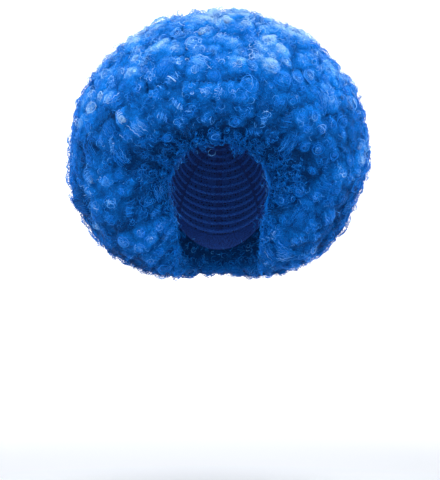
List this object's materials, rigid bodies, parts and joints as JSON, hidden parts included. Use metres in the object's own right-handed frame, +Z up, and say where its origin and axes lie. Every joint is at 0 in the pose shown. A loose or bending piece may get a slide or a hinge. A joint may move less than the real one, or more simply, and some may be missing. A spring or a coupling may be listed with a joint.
{
  "type": "curly afro wig",
  "caption": "Very large ball-shaped afro wig of tight curls: rings of curled weft hair sewn round a stretch cap, open at the face and neck.",
  "frame": {"origin": "inside of the cap's crown, where it rests on top of the wearer's head", "axes": "+Z up out of the top of the head, -Y the way the wearer looks, +X to the wearer's left"},
  "size_m": [0.4623, 0.39, 0.4122],
  "materials": {
    "hair": "tightly curled synthetic fibre with a soft sheen",
    "net": "fine open stretch net",
    "band": "woven elastic"
  },
  "bodies": {
    "root": {"cap_net": "net", "edge_band": "band", "crown_tuft": "hair", "weft_ring_1": "hair", "weft_ring_2": "hair", "weft_ring_3": "hair", "weft_ring_4": "hair", "weft_ring_5": "hair", "weft_ring_6": "hair", "hairline_ring": "hair"}
  },
  "joints": []
}
